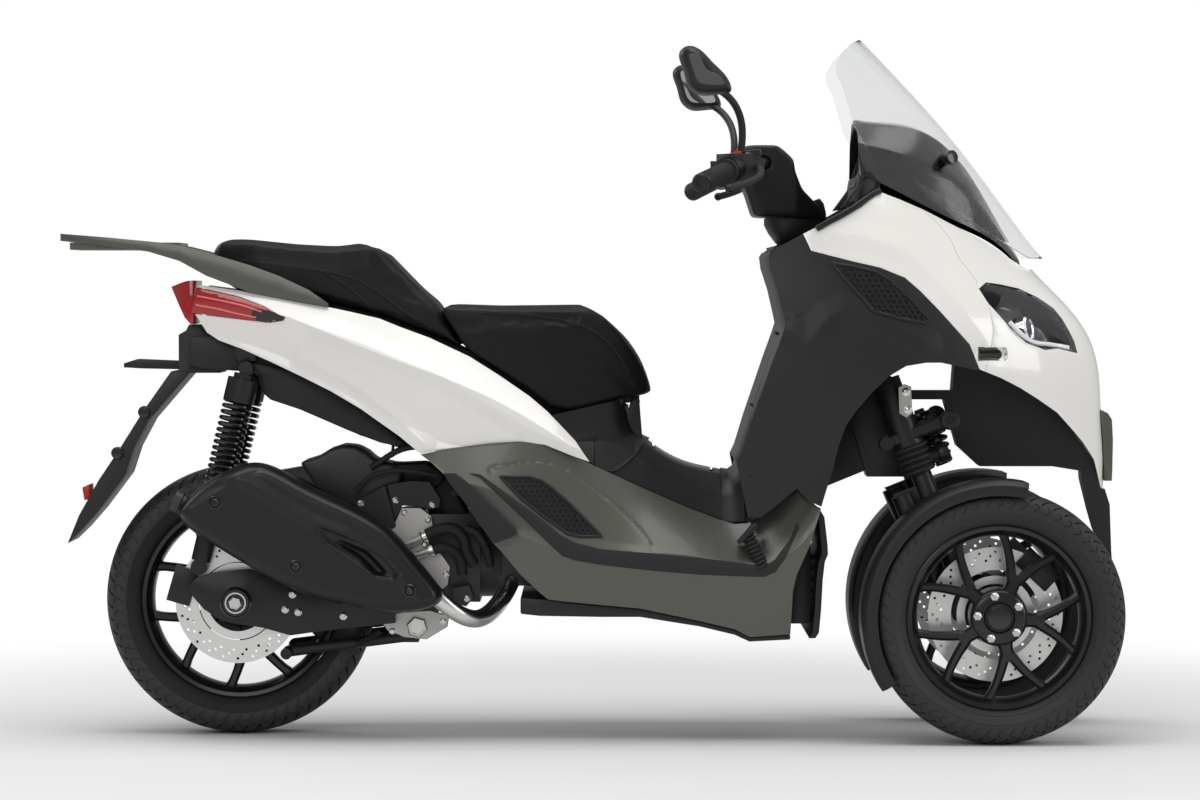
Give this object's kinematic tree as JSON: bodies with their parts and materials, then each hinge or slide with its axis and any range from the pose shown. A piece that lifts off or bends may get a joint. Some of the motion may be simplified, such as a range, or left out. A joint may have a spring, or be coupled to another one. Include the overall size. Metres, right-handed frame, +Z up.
{
  "type": "three_wheel_motor_scooter",
  "caption": "Tilting three-wheel motor scooter with two steered front wheels, a tall clear screen, a stepped dual seat, a tail carrier and a white, grey and black body.",
  "frame": {"origin": "on the ground under the middle of the scooter's bounding box", "axes": "+X forward, +Y to the rider's left, +Z up"},
  "size_m": [2.0385, 0.798, 1.3484],
  "materials": {
    "body_white": "gloss paint",
    "body_grey": "satin",
    "black_plastic": "satin",
    "seat_cover": "soft grain",
    "tyre_rubber": "matt",
    "rim_black": "satin paint",
    "frame_steel": "satin paint",
    "cast_metal": "cast",
    "screen_clear": "clear",
    "lamp_clear": "clear",
    "lamp_red": "clear red"
  },
  "bodies": {
    "chassis": {"nose_cone": "body_white", "fairing_right": "body_white", "fairing_left": "body_white", "front_lamps": "lamp_clear", "shield_right": "black_plastic", "shield_left": "black_plastic", "leg_shield": "black_plastic", "glovebox_tub": "black_plastic", "skirt_right": "body_grey", "skirt_left": "body_grey", "floor_mats": "black_plastic", "passenger_footrests": "black_plastic", "belly_pan": "black_plastic", "lower_shield": "black_plastic", "radiator": "cast_metal", "tail_panel_right": "body_white", "tail_panel_left": "body_white", "tail_lamp": "lamp_red", "under_tail": "black_plastic", "plate_holder": "black_plastic", "rear_rack": "body_grey", "helmet_box": "black_plastic", "centre_tunnel": "black_plastic", "seat_shoulders": "black_plastic", "fuel_tank": "black_plastic", "nose_keel": "black_plastic", "tilt_arms": "cast_metal", "side_tubes": "frame_steel", "front_frame": "frame_steel", "main_frame": "frame_steel", "engine": "cast_metal", "drive_case": "cast_metal", "swing_arm": "cast_metal", "rear_shocks": "frame_steel", "silencer": "frame_steel", "exhaust_pipe": "frame_steel", "windscreen": "screen_clear", "screen_base": "black_plastic", "dash": "black_plastic"},
    "handlebar": {"handlebar": "frame_steel", "handlebar_cowl": "black_plastic", "controls": "black_plastic", "mirrors": "black_plastic"},
    "right_steered": {"front_leg_right": "cast_metal", "mudguard_right": "black_plastic"},
    "left_steered": {"front_leg_left": "cast_metal", "mudguard_left": "black_plastic"},
    "right_front_wheel": {"front_rim_right": "rim_black", "front_tyre_right": "tyre_rubber"},
    "left_front_wheel": {"front_rim_left": "rim_black", "front_tyre_left": "tyre_rubber"},
    "rear_wheel": {"rear_rim": "rim_black", "rear_tyre": "tyre_rubber"},
    "seat": {"rider_cushion": "seat_cover", "passenger_cushion": "seat_cover", "seat_base": "black_plastic"},
    "stand": {"centre_stand": "frame_steel"},
    "fuel_flap": {"fuel_flap": "black_plastic"},
    "glovebox_lid": {"glovebox_lid": "black_plastic"}
  },
  "joints": [
    {"name": "steering", "type": "hinge", "parent": "chassis", "child": "handlebar", "pos_m": [0.363, 0, 1.107], "axis": [-0.3584, 0, 0.9336], "range_deg": [-30, 30]},
    {"name": "right_kingpin", "type": "hinge", "parent": "chassis", "child": "right_steered", "pos_m": [0.71795, -0.14, 0.3], "axis": [-0.3584, 0, 0.9336], "range_deg": [-30, 30]},
    {"name": "left_kingpin", "type": "hinge", "parent": "chassis", "child": "left_steered", "pos_m": [0.71795, 0.14, 0.3], "axis": [-0.3584, 0, 0.9336], "range_deg": [-30, 30]},
    {"name": "right_front_spin", "type": "hinge", "parent": "right_steered", "child": "right_front_wheel", "pos_m": [0.778, -0.225, 0.242], "axis": [0, 1, 0], "continuous": true},
    {"name": "left_front_spin", "type": "hinge", "parent": "left_steered", "child": "left_front_wheel", "pos_m": [0.778, 0.225, 0.242], "axis": [0, 1, 0], "continuous": true},
    {"name": "rear_spin", "type": "hinge", "parent": "chassis", "child": "rear_wheel", "pos_m": [-0.678, 0, 0.262], "axis": [0, 1, 0], "continuous": true},
    {"name": "seat_hinge", "type": "hinge", "parent": "chassis", "child": "seat", "pos_m": [0.09, 0, 0.646], "axis": [0, 1, 0], "range_deg": [0, 60]},
    {"name": "stand_pivot", "type": "hinge", "parent": "chassis", "child": "stand", "pos_m": [-0.345, 0, 0.195], "axis": [0, -1, 0], "range_deg": [0, 95], "stiffness_Nm_per_rad": 8, "springref_deg": -45.84},
    {"name": "fuel_flap_hinge", "type": "hinge", "parent": "chassis", "child": "fuel_flap", "pos_m": [0.238, 0, 0.5185], "axis": [0, 1, 0], "range_deg": [0, 80]},
    {"name": "glovebox_hinge", "type": "hinge", "parent": "chassis", "child": "glovebox_lid", "pos_m": [0.318, 0, 0.6405], "axis": [0, -1, 0], "range_deg": [0, 65]}
  ],
  "couplings": [
    {"joint": "right_kingpin", "follows": "steering", "ratio": 1},
    {"joint": "left_kingpin", "follows": "steering", "ratio": 1}
  ]
}
